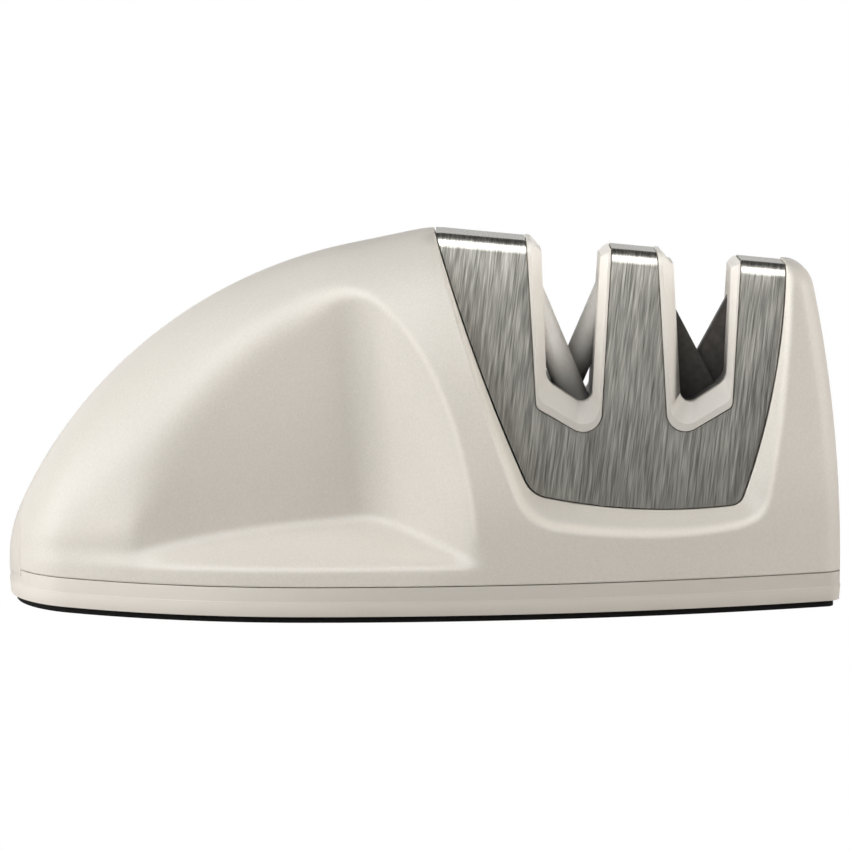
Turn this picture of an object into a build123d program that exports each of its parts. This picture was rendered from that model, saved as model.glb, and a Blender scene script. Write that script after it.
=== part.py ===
from build123d import *
import math
import os

# Sizes in millimetres. X runs along the length, Y from front to back, Z up, and the foot stands on Z zero.

# Plan of the body: a drop with a round tail at the left and a cut-off end at the right.
LENGTH = 145.4
WIDTH = 52.0
WIDEST_X = -19.8
END_WIDTH = 23.0
FLANK_RADIUS = 105.0
END_CORNER = 3.0

# Side view of the body: a tail arc, a crown arc, a straight ramp, a soft peak and a fall along the head.
SEAM_Z = 6.2
CROWN_X = 4.0
CROWN_Z = 63.9
CROWN_RADIUS = 82.4
RAMP = math.radians(11.7)
PEAK_X = 2.55
PEAK_RADIUS = 18.0
HEAD_FALL = math.radians(5.3)
END_RADIUS = 228.0
END_PLUMB_Z = 8.0
END_LEAN = math.radians(6.0)
SHOULDER_RADIUS = 4.5
TAIL_ROOT_SHARES = (0.045, 0.1, 0.16, 0.23, 0.3, 0.37, 0.44)
HEAD_ROOT_SHARES = (0.5, 0.56, 0.62, 0.68, 0.71, 0.74, 0.78, 0.82, 0.86, 0.9, 0.935, 0.97, 1.005)
SECTION_SHARES = tuple(root**2 for root in TAIL_ROOT_SHARES + HEAD_ROOT_SHARES)
SECTION_STEPS = 18
CURVE_STEPS = 60
SHELL_WALL = 2.4

# Finger hollow: two faces that meet in a leaning valley, given at the seam, and a sill below them.
VALLEY_X = -6.4
VALLEY_HALF = 15.1
VALLEY_LEAN = math.radians(5.7)
VALLEY_RAKE = math.radians(3.4)
HOLLOW_LEFT = math.radians(8.2)
HOLLOW_RIGHT = math.radians(31.0)
SILL_INSET = 0.3
SILL_Z = 9.2
SILL_SLOPE = math.radians(29.0)
VALLEY_RADIUS = 9.0
SILL_RADIUS = 5.0
HOLLOW_EDGE = 2.0

# Head: the steel faces lean back and close in towards the right end.
HEAD_HALF = 7.9
HEAD_CLOSE = 0.03
HEAD_LEAN = 0.125
HEAD_DATUM_Z = 60.0
HEAD_DROP = 0.4
SHEET = 0.8
BEND_RADIUS = 2.6
BEND_BAND = 10.0
LENGTHWISE_SHARE = 0.7
COVER_LEFT_X = 2.3
COVER_LEFT_Z = 64.8
COVER_HEEL_X = 18.9
COVER_HEEL_Z = 20.1
COVER_TOE_X = 54.8
COVER_TOE_Z = 18.2
COVER_RIGHT_X = 62.6
COVER_RIGHT_Z = 59.0
COVER_LEFT_BOW = 0.9
COVER_LOW_BOW = 1.6
COVER_RIGHT_BOW = 1.8
COVER_HEEL_RADIUS = 5.0
COVER_TOE_RADIUS = 2.5
COVER_GAP = 0.25
FIT_GAP = 0.05

EAR_X = 36.6
EAR_Z = 17.9
EAR_LONG = 12.0
EAR_REACH = 4.0
EAR_GAP = 0.1

# Dished rim round the cover: how far it opens out at a plane that clears the shell.
RIM_LEFT_TOP = 1.2
RIM_LEFT_LOW = 1.7
RIM_LOW = 2.7
RIM_RIGHT_LOW = 5.8
RIM_RIGHT_TOP = 0.6
RIM_HEEL_RADIUS = 9.0
RIM_TOE_RADIUS = 6.0
RIM_HALF = 24.0
RIM_CLOSE = 0.18
RIM_LEAN = 0.06
RIM_DATUM_X = 16.0
RIM_DATUM_Z = 20.0

# Knife slots: outer outline at the cover and inner throat, from the slot's centre.
FINE_X = 25.3
COARSE_X = 47.8
LIP_LOW_SIDE = 5.85
LIP_HIGH_SIDE = 8.2
LIP_STEP_Z = 34.7
LIP_LOW_X = 5.5
LIP_LOW_Z = 28.3
LIP_STEP_RADIUS = 1.5
LIP_LOW_RADIUS = 3.4
THROAT_LOW_SIDE = 4.35
THROAT_HIGH_SIDE = 5.75
THROAT_SHIFT = 0.5
THROAT_STEP_Z = 39.1
THROAT_LOW_X = 3.5
THROAT_LOW_Z = 34.0
THROAT_STEP_RADIUS = 3.0
THROAT_LOW_RADIUS = 1.8
THROAT_BEVEL_WIDE = 1.9
THROAT_BEVEL_DEEP = 1.8
LIP_GAP = 0.2
LIP_PROUD = 0.35
LIP_CROWN = 0.15
LIP_RIM = 0.5
LIP_FLARE = 0.6
FUNNEL_DEPTH = 2.2
FUNNEL_LAP = 0.15
SLOT_TOP_Z = 75.0

# Sharpening elements.
ROD_RADIUS = 2.5
ROD_SLIP = 0.05
ROD_SPACE = 0.3
ROD_END_GAP = 0.3
ROD_BEVEL = 0.4
VEE_SHIFT = 0.3
ROD_LEAN = 23.0
ROD_VEE_Z = 44.0
ROD_BELOW = 4.0
ROD_ABOVE = 22.0
BLADE_LEAN = 28.0
BLADE_VEE_Z = 43.4
BLADE_BELOW = 9.0
BLADE_ABOVE = 11.0
BLADE_WIDE = 7.0
BLADE_THICK = 2.0
BLADE_SPACE = 0.1
BLADE_GAP = 0.05

# Base tray and foot.
FOOT_SHOW = 1.2
FOOT_SEAT = 0.6
FOOT_INSET = 1.2
LEDGE_Z = 3.7
LEDGE_STEP = 0.12
TRAY_TAPER = 4.0
TRAY_WALL = 3.8
TRAY_FLOOR = 2.2
LIP_RISE = 1.6
RIM_FIT = 0.55
TAB_HALF = 10.0
TAB_TOP_Z = 17.5
TAB_THICK = 2.2
TAB_GAP = 0.15

# Screws: plain pan heads with a six-sided socket, all of one thread.
SCREW_RADIUS = 1.5
SCREW_HEAD_RADIUS = 2.75
SCREW_HEAD_RISE = 1.8
SCREW_SOCKET_RADIUS = 1.0
SCREW_SOCKET_DEPTH = 1.1
SCREW_GAP = 0.05
SCREW_FREE = 0.2
HEAD_SEAT_GAP = 0.25
HEAD_COVER = 0.2
PILOT_SPARE = 1.0
BASE_SCREW_LONG = 12.0
HEAD_SCREW_LONG = 12.0
CLAMP_SCREW_LONG = 11.5
SHELL_BOSS_RADIUS = 3.6
LEFT_BOSS_X = -42.0
LEFT_BOSS_Y = 14.5
LEFT_BOSS_TOP_Z = 26.0
RIGHT_BOSS_X = 64.2
RIGHT_BOSS_TOP_Z = 36.0
LEDGE_BOSS_RADIUS = 4.2
LEDGE_BOSS_Z = 13.5
LEDGE_SEAT_Z = 16.0
HEAD_SCREW_LEFT_X = 28.0
HEAD_SCREW_RIGHT_X = 45.5
HEAD_SCREW_Y = 6.0
CLAMP_LEFT_X = 13.2
CLAMP_LEFT_Z = 42.0
CLAMP_LOW_X = 36.4
CLAMP_LOW_Z = 26.5
CLAMP_RIGHT_X = 54.4
CLAMP_RIGHT_Z = 27.8
CLAMP_HEAD_Y = 4.5
CORNER_LEAST = 0.5

OVERRUN = 1.0
FAR = 90.0
SOFTEN_SHARES = (1.0, 0.8, 0.6, 0.4, 0.2)

# Arcs that follow from the sizes above.
TAIL_X = -LENGTH / 2
END_X = LENGTH / 2
BOW_RUN = END_X - WIDEST_X
BOW_SAG = (WIDTH - END_WIDTH) / 2
BOW_RADIUS = (BOW_RUN**2 + BOW_SAG**2) / (2 * BOW_SAG)


def end_circle(radius, run, drop):
    """Radius of the circle that touches a larger one from inside and reaches the end of the run."""
    return (radius**2 - run**2 - drop**2) / (2 * (radius - run))


TIP_RADIUS = end_circle(FLANK_RADIUS, WIDEST_X - TAIL_X, FLANK_RADIUS - WIDTH / 2)
TIP_X = TAIL_X + TIP_RADIUS
CROWN_CENTRE_Z = CROWN_Z - CROWN_RADIUS
STERN_RADIUS = end_circle(CROWN_RADIUS, CROWN_X - TAIL_X, SEAM_Z - CROWN_CENTRE_Z)
STERN_X = TAIL_X + STERN_RADIUS
PEAK_RUN = CROWN_RADIUS - PEAK_RADIUS + (PEAK_X - CROWN_X) * math.sin(RAMP)
PEAK_CENTRE_Z = CROWN_CENTRE_Z + PEAK_RUN / math.cos(RAMP)
PEAK_Z = PEAK_CENTRE_Z + PEAK_RADIUS


def half_width(x, inset):
    """Half the plan width at x of the outline moved in by the inset."""
    turn = (TIP_X - WIDEST_X) / (FLANK_RADIUS - TIP_RADIUS)
    if x < WIDEST_X + turn * (FLANK_RADIUS - inset):
        return math.sqrt(max(0, (TIP_RADIUS - inset) ** 2 - (x - TIP_X) ** 2))
    radius = BOW_RADIUS if x >= WIDEST_X else FLANK_RADIUS
    return WIDTH / 2 - radius + math.sqrt((radius - inset) ** 2 - (x - WIDEST_X) ** 2)


def crest(x, inset):
    """Height of the top line at x of the side view moved in by the inset."""
    turn = (STERN_X - CROWN_X) / (CROWN_RADIUS - STERN_RADIUS)
    if x < CROWN_X + turn * (CROWN_RADIUS - inset):
        return SEAM_Z + math.sqrt(max(0, (STERN_RADIUS - inset) ** 2 - (x - STERN_X) ** 2))
    radius = CROWN_RADIUS - inset
    ramp_x = CROWN_X - radius * math.sin(RAMP)
    peak = PEAK_RADIUS - inset
    if x < PEAK_X - peak * math.sin(RAMP):
        arc = CROWN_CENTRE_Z + math.sqrt(radius**2 - (min(x, ramp_x) - CROWN_X) ** 2)
        return arc + max(0, x - ramp_x) * math.tan(RAMP)
    fall_x = PEAK_X + peak * math.sin(HEAD_FALL)
    arc = PEAK_CENTRE_Z + math.sqrt(peak**2 - (min(x, fall_x) - PEAK_X) ** 2)
    return arc - max(0, x - fall_x) * math.tan(HEAD_FALL)


def ease(share):
    """A soft step from zero to one."""
    held = min(1, max(0, share))
    return held * held * (3 - 2 * held)


def evenly(curve, steps):
    """Points at even steps along a line of points, without the last one."""
    runs = [0]
    for start, end in zip(curve, curve[1:]):
        runs.append(runs[-1] + math.dist(start, end))
    picked = []
    for step in range(steps):
        goal = runs[-1] * step / steps
        at = max(index for index, run in enumerate(runs) if run <= goal)
        part = (goal - runs[at]) / (runs[at + 1] - runs[at])
        start, end = curve[at], curve[at + 1]
        picked.append((start[0] + part * (end[0] - start[0]), start[1] + part * (end[1] - start[1])))
    return picked


def round_side(half, rise):
    """One side of a half-ellipse section, from the seam to the top."""
    turns = [math.pi / 2 * step / CURVE_STEPS for step in range(CURVE_STEPS + 1)]
    return [(half * math.cos(turn), rise * math.sin(turn)) for turn in turns]


def square_side(half, rise, inset):
    """One side of the section at the right end: a leaning flank, a round shoulder and a flat top."""
    radius = SHOULDER_RADIUS - inset
    flank = half - math.tan(END_LEAN) * (rise - radius + radius * math.sin(END_LEAN))
    centre = flank - radius * math.cos(END_LEAN)
    turns = [END_LEAN + (math.pi / 2 - END_LEAN) * step / CURVE_STEPS for step in range(CURVE_STEPS + 1)]
    shoulder = [(centre + radius * math.cos(turn), rise - radius + radius * math.sin(turn)) for turn in turns]
    return [(half, 0), *shoulder, (0, rise)]


def section(x, inset, skirt):
    """Cross section of the body at x, carried down by the skirt."""
    squareness = ease((x - CROWN_X) / (END_X - CROWN_X))
    half = half_width(x, inset)
    rise = crest(x, inset) - SEAM_Z
    soft = evenly(round_side(half, rise), SECTION_STEPS)
    hard = evenly(square_side(half, rise, inset), SECTION_STEPS)
    side = [
        (a + squareness * (c - a), SEAM_Z + b + squareness * (d - b)) for (a, b), (c, d) in zip(soft, hard)
    ]
    front = [(x, -out, z) for out, z in side]
    back = [(x, out, z) for out, z in reversed(side)]
    over = Spline(*front, (x, 0, SEAM_Z + rise), *back)
    if skirt == 0:
        return Face(Wire([over, Line(back[-1], front[0])]))
    foot_front = (x, -half, SEAM_Z - skirt)
    foot_back = (x, half, SEAM_Z - skirt)
    sides = [Line(foot_front, front[0]), Line(back[-1], foot_back), Line(foot_back, foot_front)]
    return Face(Wire([over, *sides]))


def prism(face, direction, reach):
    """A plane face pushed both ways along a direction."""
    return extrude(face, reach, dir=direction, both=True)


def dome(inset, skirt):
    """The body as one lump, moved in by the inset, with its right end cut off."""
    start = TAIL_X + inset
    run = LENGTH - 2 * inset
    lump = loft([section(start + run * share, inset, skirt) for share in SECTION_SHARES])
    radius = END_RADIUS - inset
    centre_x = END_X - END_RADIUS
    low = (centre_x + math.sqrt(radius**2 - END_PLUMB_Z**2), 0)
    mid = (centre_x + radius, END_PLUMB_Z)
    high_z = PEAK_Z
    high = (centre_x + math.sqrt(radius**2 - (high_z - END_PLUMB_Z) ** 2), high_z)
    edges = [
        ThreePointArc(low, mid, high),
        Polyline(high, (high[0], FAR), (-FAR, FAR), (-FAR, -FAR), (low[0], -FAR), low),
    ]
    return lump & prism(Plane.XZ * make_face(edges), (0, 1, 0), WIDTH)


def mirrored(solid):
    """The same solid on the other side of the middle plane."""
    return mirror(solid, about=Plane.XZ)


def valley_place(z):
    """A point on the valley of the front hollow."""
    rise = z - SEAM_Z
    return (VALLEY_X - rise * math.tan(VALLEY_LEAN), rise * math.tan(VALLEY_RAKE) - VALLEY_HALF, z)


def hollow(inset):
    """What the fingers' hollow takes away in front, moved in by the inset."""
    out = FAR / 2
    left = (VALLEY_X - FAR, -VALLEY_HALF - FAR * math.tan(HOLLOW_LEFT))
    right = (VALLEY_X + (out - VALLEY_HALF) / math.tan(HOLLOW_RIGHT), -out)
    wedge = make_face(Polyline((VALLEY_X, -VALLEY_HALF), left, (left[0], -out), right, close=True))
    if inset > 0:
        wedge = offset(wedge, inset, kind=Kind.INTERSECTION)
    column = Pos(0, 0, SEAM_Z) * extrude(wedge, FAR, dir=(-math.tan(VALLEY_LEAN), math.tan(VALLEY_RAKE), 1))
    middle = valley_place(SEAM_Z + FAR / 2)
    column = fillet(column.edges().sort_by_distance(middle)[0], VALLEY_RADIUS + inset)
    low_z = SILL_Z - inset / math.cos(SILL_SLOPE)
    low_half = WIDTH / 2 - SILL_INSET
    high_half = VALLEY_HALF / 2
    rise = (low_half - high_half) * math.tan(SILL_SLOPE)
    sill = plan_face(SILL_INSET)
    wide = Pos(0, 0, low_z) * sill
    narrow = Pos(0, 0, low_z + rise) * scale(sill, (1, high_half / low_half, 1))
    hill = Solid.make_loft([wide.face().outer_wire(), narrow.face().outer_wire()], ruled=True)
    tool = column - hill - plate(-OVERRUN, 0, low_z)
    inner = [e for e in tool.edges() if e.center().Y > -out / 2 and low_z < e.center().Z < low_z + rise]
    return soften(tool, inner, SILL_RADIUS + inset)


def soften(solid, edges, radius):
    """Rounds edges, with a smaller radius where the full one doesn't fit."""
    for share in SOFTEN_SHARES:
        try:
            return fillet(edges, radius * share)
        except ValueError:
            continue
    return solid


def head_outline(left_top, left_low, low, right_low, right_top, heel_radius, toe_radius):
    """Front view of the cover, opened out by the given amounts, as a face in X and Z."""
    start = (COVER_LEFT_X - left_top, COVER_LEFT_Z)
    heel = (COVER_HEEL_X - left_low, COVER_HEEL_Z - low)
    toe = (COVER_TOE_X + right_low, COVER_TOE_Z - low)
    end = (COVER_RIGHT_X + right_top, COVER_RIGHT_Z)
    face = make_face(
        [
            SagittaArc(start, heel, -COVER_LEFT_BOW),
            SagittaArc(heel, toe, -COVER_LOW_BOW),
            SagittaArc(toe, end, -COVER_RIGHT_BOW),
            Polyline(end, (end[0], SLOT_TOP_Z), (start[0], SLOT_TOP_Z), start),
        ]
    )
    face = fillet(face.vertices().sort_by_distance(heel)[0], heel_radius)
    return fillet(face.vertices().sort_by_distance(toe)[0], toe_radius)


def cover_outline(grow):
    """Front view of the steel cover, moved out by the given amount."""
    return head_outline(grow, grow, grow, grow, grow, COVER_HEEL_RADIUS + grow, COVER_TOE_RADIUS + grow)


def rim_outline(grow):
    """Front view of the dished rim at its widest plane, moved out by the given amount."""
    return head_outline(
        RIM_LEFT_TOP + grow,
        RIM_LEFT_LOW + grow,
        RIM_LOW + grow,
        RIM_RIGHT_LOW + grow,
        RIM_RIGHT_TOP + grow,
        RIM_HEEL_RADIUS + grow,
        RIM_TOE_RADIUS + grow,
    )


def slot_outline(centre, turn, sides, step_z, low, step_radius, low_radius):
    """Front view of a knife slot: a channel whose floor falls to one side, the fine slot's to the right."""
    low_side, high_side = sides
    low_x, low_z = low
    step = (centre - turn * low_side, step_z)
    deep = (centre + turn * low_x, low_z)
    face = make_face(
        Polyline(
            (centre - turn * high_side, SLOT_TOP_Z),
            step,
            deep,
            (centre + turn * high_side, SLOT_TOP_Z),
            close=True,
        )
    )
    face = fillet(face.vertices().sort_by_distance(step)[0], step_radius)
    return fillet(face.vertices().sort_by_distance(deep)[0], low_radius)


def lip_outline(centre, turn, grow):
    """The slot's outline at the cover, moved out by the given amount."""
    sides = (LIP_LOW_SIDE + grow, LIP_HIGH_SIDE + grow)
    low = (LIP_LOW_X + grow, LIP_LOW_Z - grow)
    step_z = LIP_STEP_Z - grow
    return slot_outline(centre, turn, sides, step_z, low, LIP_STEP_RADIUS + grow, LIP_LOW_RADIUS + grow)


def throat_outline(middle, turn, grow):
    """The slot's outline where it is narrowest, moved out by the given amount."""
    centre = middle + THROAT_SHIFT
    sides = (THROAT_LOW_SIDE + grow, THROAT_HIGH_SIDE + grow)
    low = (THROAT_LOW_X + grow, THROAT_LOW_Z - grow)
    step_z = THROAT_STEP_Z - grow
    return slot_outline(centre, turn, sides, step_z, low, THROAT_STEP_RADIUS + grow, THROAT_LOW_RADIUS + grow)


SLOTS = ((FINE_X, 1), (COARSE_X, -1))


def upright(face):
    """A face in X and Z, set up on the middle plane and pushed through the part."""
    return prism(Plane.XZ * face, (0, 1, 0), WIDTH)


def head_face(x, z, out):
    """Y of the head's front face, moved out by the given amount."""
    slant = math.hypot(1, HEAD_CLOSE, HEAD_LEAN)
    return -(HEAD_HALF - HEAD_CLOSE * x + HEAD_LEAN * (HEAD_DATUM_Z - z) + slant * out)


def rim_face(x, z, out):
    """Y of the plane where the dished rim is widest, moved out by the given amount."""
    return -(RIM_HALF - RIM_CLOSE * (x - RIM_DATUM_X) - RIM_LEAN * (z - RIM_DATUM_Z) + out)


def lifted(face, plane_y, out):
    """The outline of a face in X and Z, carried along Y onto a leaning plane."""
    edges = []
    for edge in face.faces()[0].outer_wire().order_edges():
        points = [(p.X, plane_y(p.X, p.Y, out), p.Y) for p in (edge @ 0, edge @ 0.5, edge @ 1)]
        if edge.geom_type == GeomType.LINE:
            edges.append(Line(points[0], points[2]))
        else:
            edges.append(ThreePointArc(*points))
    return Wire(edges)


def tapered(inner, inner_out, outer, plane_y, outer_out):
    """The lump between one outline on the head's face and another further out."""
    wires = [lifted(inner, head_face, inner_out), lifted(outer, plane_y, outer_out)]
    return Solid.make_loft(wires, ruled=True)


def dish(inset):
    """What the dished rim takes away in front, moved in by the inset."""
    return tapered(cover_outline(inset), -inset, rim_outline(inset), rim_face, 0)


def envelope(side, top):
    """The head as a lump with leaning sides and round top edges, moved out by the given amounts."""
    ends = []
    for x in (COVER_LEFT_X - COVER_HEEL_X, END_X):
        low = head_face(x, 0, side)
        high = head_face(x, SLOT_TOP_Z, side)
        points = ((x, low, 0), (x, high, SLOT_TOP_Z), (x, -high, SLOT_TOP_Z), (x, -low, 0))
        ends.append(Face(Wire(Polyline(*points, close=True).edges())))
    sides = loft(ends, ruled=True)
    radius = PEAK_RADIUS - HEAD_DROP + top
    turns = (-RAMP, 0, HEAD_FALL)
    start, mid, end = [
        (PEAK_X + radius * math.sin(turn), PEAK_CENTRE_Z + radius * math.cos(turn)) for turn in turns
    ]
    far = (end[0] + FAR, end[1] - FAR * math.tan(HEAD_FALL))
    around = Polyline(end, far, (far[0], -FAR), (start[0], -FAR), start)
    below = make_face([ThreePointArc(start, mid, end), around])
    lump = sides & upright(below)
    high = [e for e in lump.edges() if e.center().Z > COVER_RIGHT_Z - BEND_BAND]
    rounds = [e for e in high if abs(e.tangent_at(0.5).X) > LENGTHWISE_SHARE]
    return soften(lump, rounds, BEND_RADIUS + side)


def block(size, corner):
    """A box from its lowest corner."""
    return Pos(*corner) * Box(*size, align=(Align.MIN, Align.MIN, Align.MIN))


def post(radius, x, y, low, high):
    """An upright round post."""
    return Pos(x, y, low) * Cylinder(radius, high - low, align=(Align.CENTER, Align.CENTER, Align.MIN))


def ear(gap, drop):
    """Where the cover is bent in under the front of the cartridge, with room round it."""
    size = (EAR_LONG + 2 * gap, WIDTH, SHEET + 2 * gap + drop)
    inner_y = head_face(EAR_X, EAR_Z, -EAR_REACH - gap)
    return block(size, (EAR_X - EAR_LONG / 2 - gap, inner_y - WIDTH, EAR_Z - gap - drop))


def cover():
    """The bent steel saddle with its two cut-outs and the two ears that hook under the cartridge."""
    outside = envelope(0, 0)
    sheet = (outside - envelope(-SHEET, -SHEET)) & upright(cover_outline(0))
    for centre, turn in SLOTS:
        sheet -= upright(lip_outline(centre, turn, 0))
    hook = ear(0, 0) & outside
    return sheet + hook + mirrored(hook)


def screw(length):
    """A pan-head screw that points up, its head resting on zero."""
    shank = post(SCREW_RADIUS, 0, 0, -SCREW_GAP, length)
    head = post(SCREW_HEAD_RADIUS, 0, 0, -SCREW_HEAD_RISE, 0)
    socket = extrude(RegularPolygon(SCREW_SOCKET_RADIUS, 6), SCREW_SOCKET_DEPTH)
    return shank + head - Pos(0, 0, -SCREW_HEAD_RISE) * socket


CLAMPS = ((CLAMP_LEFT_X, CLAMP_LEFT_Z), (CLAMP_LOW_X, CLAMP_LOW_Z), (CLAMP_RIGHT_X, CLAMP_RIGHT_Z))
HEAD_SCREW_XS = (HEAD_SCREW_LEFT_X, HEAD_SCREW_RIGHT_X)
HEAD_SCREWS = [(x, y) for x in HEAD_SCREW_XS for y in (-HEAD_SCREW_Y, HEAD_SCREW_Y)]
BASE_SCREWS = ((LEFT_BOSS_X, -LEFT_BOSS_Y), (LEFT_BOSS_X, LEFT_BOSS_Y), (RIGHT_BOSS_X, 0))
FOOT_TOP_Z = FOOT_SHOW + FOOT_SEAT
BASE_SEAT_Z = FOOT_TOP_Z + HEAD_COVER + SCREW_HEAD_RISE


def cartridge_screws():
    """The screws that clamp the two cartridge halves, driven from the back."""
    return Compound([Pos(x, CLAMP_HEAD_Y, z) * Rot(90, 0, 0) * screw(CLAMP_SCREW_LONG) for x, z in CLAMPS])


def head_screws():
    """The screws up through the ledge into the cartridge."""
    return Compound([Pos(x, y, LEDGE_BOSS_Z) * screw(HEAD_SCREW_LONG) for x, y in HEAD_SCREWS])


def base_screws():
    """The screws up through the base tray into the shell."""
    return Compound([Pos(x, y, BASE_SEAT_Z) * screw(BASE_SCREW_LONG) for x, y in BASE_SCREWS])


def rod(side, spare, end_spare):
    """A fine rod, on the front for side minus one, with room round it."""
    low_z = ROD_VEE_Z - ROD_RADIUS / math.sin(math.radians(ROD_LEAN))
    place = Pos(FINE_X + VEE_SHIFT, side * (ROD_RADIUS + ROD_SPACE), low_z) * Rot(0, side * ROD_LEAN, 0)
    return place * post(ROD_RADIUS + spare, 0, 0, -ROD_BELOW - end_spare, ROD_ABOVE + end_spare)


def rod_channel(side):
    """The open channel for a rod in the meeting face of a cartridge half."""
    low_z = ROD_VEE_Z - ROD_RADIUS / math.sin(math.radians(ROD_LEAN))
    place = Pos(FINE_X + VEE_SHIFT, 0, low_z) * Rot(0, side * ROD_LEAN, 0)
    wide = 2 * (ROD_RADIUS + ROD_SLIP)
    deep = 2 * (ROD_RADIUS + ROD_SPACE)
    long = ROD_ABOVE + ROD_BELOW + 2 * ROD_END_GAP
    mouth = place * Pos(0, 0, (ROD_ABOVE - ROD_BELOW) / 2) * Box(wide, deep, long)
    return rod(side, ROD_SLIP, ROD_END_GAP) + mouth


def fine_rod(side):
    """A round ceramic rod with bevelled ends."""
    bare = rod(side, 0, 0)
    return chamfer(bare.edges().filter_by(GeomType.CIRCLE), ROD_BEVEL)


def blade(side, spare):
    """A coarse plate, on the front for side minus one, with room round it."""
    place = Pos(COARSE_X + VEE_SHIFT, side * (BLADE_SPACE + BLADE_THICK / 2), BLADE_VEE_Z)
    shift = Pos(side * BLADE_WIDE / 2, 0, (BLADE_ABOVE - BLADE_BELOW) / 2)
    size = (BLADE_WIDE + 2 * spare, BLADE_THICK + 2 * spare, BLADE_ABOVE + BLADE_BELOW + 2 * spare)
    return place * Rot(0, side * BLADE_LEAN, 0) * shift * Box(*size)


def blade_pocket(side):
    """The pocket for a plate in the meeting face of a cartridge half."""
    pocket = blade(side, BLADE_GAP)
    return pocket + Pos(0, -side * BLADE_SPACE, 0) * pocket


def slot_bevel(centre):
    """The bevel along both top edges of a slot's throat."""
    top = crest(centre, HEAD_DROP) + LIP_CROWN
    narrow = THROAT_LOW_SIDE + (THROAT_HIGH_SIDE - THROAT_LOW_SIDE) * (top - THROAT_STEP_Z) / (
        SLOT_TOP_Z - THROAT_STEP_Z
    )
    wide = narrow + THROAT_BEVEL_WIDE
    points = ((narrow, -THROAT_BEVEL_DEEP), (wide, 0), (wide, OVERRUN))
    right = [Vector(x, z).rotate(Axis.Z, -math.degrees(HEAD_FALL)) for x, z in points]
    left = [Vector(-x, z).rotate(Axis.Z, -math.degrees(HEAD_FALL)) for x, z in reversed(points)]
    spots = [(centre + THROAT_SHIFT + spot.X, top + spot.Y) for spot in (*right, *left)]
    return upright(make_face(Polyline(*spots, close=True)))


def cartridge_block():
    """Both cartridge halves as one block, with the slot guides but without pockets."""
    inside = -SHEET - FIT_GAP
    lump = envelope(inside, inside) & upright(cover_outline(0))
    outside = envelope(LIP_PROUD, LIP_CROWN)
    for centre, turn in SLOTS:
        lump += outside & upright(lip_outline(centre, turn, -LIP_GAP))
    for centre, turn in SLOTS:
        neck = throat_outline(centre, turn, -FUNNEL_LAP)
        mouth = lip_outline(centre, turn, -LIP_GAP - LIP_RIM + LIP_FLARE)
        funnel = tapered(neck, -FUNNEL_DEPTH, mouth, head_face, LIP_PROUD + OVERRUN)
        lump = lump - upright(throat_outline(centre, turn, 0)) - slot_bevel(centre)
        lump = lump - funnel - mirrored(funnel)
    groove = ear(EAR_GAP, EAR_REACH)
    lump = lump - groove - mirrored(groove)
    for x, y in HEAD_SCREWS:
        lump -= post(SCREW_RADIUS + SCREW_GAP, x, y, 0, LEDGE_BOSS_Z + HEAD_SCREW_LONG + PILOT_SPARE)
    for x, z in CLAMPS:
        along = Pos(x, CLAMP_HEAD_Y, z) * Rot(90, 0, 0)
        lump -= along * post(SCREW_RADIUS + SCREW_GAP, 0, 0, -OVERRUN, CLAMP_SCREW_LONG + HEAD_COVER)
        lump -= along * post(SCREW_HEAD_RADIUS + HEAD_SEAT_GAP, 0, 0, -WIDTH, 0)
    return lump


def cartridge(side):
    """One half of the cartridge, the front one for side minus one."""
    keep = Keep.TOP if side < 0 else Keep.BOTTOM
    half = split(cartridge_block(), bisect_by=Plane.XZ, keep=keep)
    return half - rod_channel(side) - blade_pocket(side)


def plan_face(inset):
    """The plan outline of the body, moved in by the inset."""
    turn = (TIP_X - WIDEST_X) / (FLANK_RADIUS - TIP_RADIUS)
    stops = (END_X - inset, WIDEST_X, WIDEST_X + turn * (FLANK_RADIUS - inset))
    back = []
    front = []
    for start, end in zip(stops, stops[1:]):
        spots = [(x, half_width(x, inset)) for x in (start, (start + end) / 2, end)]
        back.append(ThreePointArc(*spots))
        front.append(ThreePointArc(*[(x, -y) for x, y in spots]))
    tip = ThreePointArc(back[-1] @ 1, (TAIL_X + inset, 0), front[-1] @ 1)
    face = make_face([*back, tip, *front, Line(front[0] @ 0, back[0] @ 0)])
    corners = face.vertices().sort_by(Axis.X)[-2:]
    return fillet(corners, max(END_CORNER - inset, CORNER_LEAST))


def plate(inset, low, high):
    """A plate of the plan outline between two heights."""
    return Pos(0, 0, low) * extrude(plan_face(inset), high - low)


def rubber_foot():
    """The thin pad under the base."""
    return plate(FOOT_INSET, 0, FOOT_TOP_Z)


def tail_tab(gap):
    """Front view from the tail: an arch through the tail, with room round it."""
    half = TAB_HALF + gap
    top = TAB_TOP_Z + gap
    arch = Pos(0, SEAM_Z) * Ellipse(half, top - SEAM_Z) + Pos(0, SEAM_Z / 2) * Rectangle(2 * half, SEAM_Z)
    reach = TIP_RADIUS - SHELL_WALL
    return Pos(TAIL_X, 0, 0) * prism(Plane.YZ * arch, (1, 0, 0), reach)


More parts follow.
